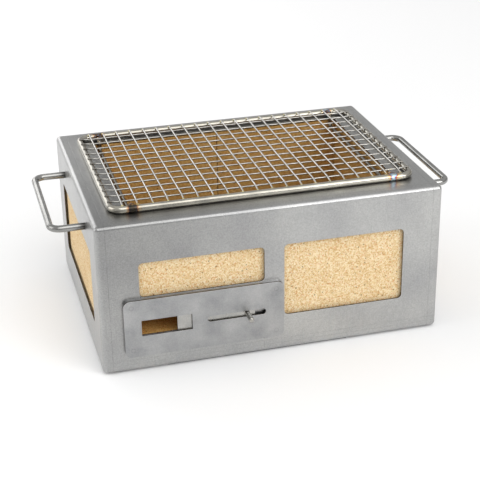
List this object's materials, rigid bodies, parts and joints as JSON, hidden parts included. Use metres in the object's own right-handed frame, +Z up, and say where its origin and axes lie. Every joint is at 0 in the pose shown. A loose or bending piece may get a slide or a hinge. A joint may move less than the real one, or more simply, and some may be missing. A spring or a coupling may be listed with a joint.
{
  "type": "hibachi grill",
  "caption": "Table-top charcoal grill: stainless casing lined with fire bricks, lift-off wire cooking grate, sliding front air vent and rod handles.",
  "frame": {"origin": "middle of the base plate's underside, the face the grill stands on, centred under the casing", "axes": "+X to the right along the casing's length, the front with the vent faces -Y, +Z up"},
  "size_m": [0.484, 0.323, 0.1916],
  "materials": {
    "casing_stainless": "satin ground sheet",
    "base_stainless": "satin sheet",
    "screw_steel": "machined",
    "fire_brick": "raw granular",
    "handle_stainless": "drawn bright rod",
    "weld_bead": "as welded",
    "vent_stainless": "satin ground sheet",
    "slider_stainless": "brighter satin sheet",
    "stud_stainless": "turned",
    "grate_rod": "bright drawn rod with heat tint at its welds",
    "grate_wire": "bright drawn wire",
    "charcoal_grate_steel": "satin sheet, heat dulled"
  },
  "bodies": {
    "casing": {"outer_casing": "casing_stainless", "base_plate": "base_stainless", "base_screws": "screw_steel", "floor_brick_front_left": "fire_brick", "floor_brick_front_right": "fire_brick", "floor_brick_back_left": "fire_brick", "floor_brick_back_right": "fire_brick", "front_brick_left": "fire_brick", "front_brick_right": "fire_brick", "back_brick_left": "fire_brick", "back_brick_right": "fire_brick", "side_brick_left": "fire_brick", "side_brick_right": "fire_brick", "handle_left": "handle_stainless", "handle_right": "handle_stainless", "handle_weld_collars": "weld_bead", "vent_spacer_frame": "vent_stainless", "vent_cover_plate": "vent_stainless"},
    "vent_shutter": {"vent_slider": "slider_stainless", "slider_stud": "stud_stainless"},
    "cooking_grate": {"grate_frame": "grate_rod", "grate_long_wires": "grate_wire", "grate_cross_wires": "grate_wire", "grate_runner_left": "grate_rod", "grate_runner_right": "grate_rod"},
    "charcoal_grate": {"charcoal_grate_plate": "charcoal_grate_steel", "charcoal_leg_left": "charcoal_grate_steel", "charcoal_leg_right": "charcoal_grate_steel"}
  },
  "joints": [
    {"name": "vent_slide", "type": "slide", "parent": "casing", "child": "vent_shutter", "axis": [1, 0, 0], "range_m": [-0.0425, 0.0175]},
    {"name": "grate_lift", "type": "slide", "parent": "casing", "child": "cooking_grate", "axis": [0, 0, 1], "range_m": [0, 0.32]},
    {"name": "charcoal_grate_lift", "type": "slide", "parent": "casing", "child": "charcoal_grate", "axis": [0, 0, 1], "range_m": [0, 0.16]}
  ],
  "couplings": [
    {"joint": "charcoal_grate_lift", "follows": "grate_lift", "ratio": 0.5}
  ]
}
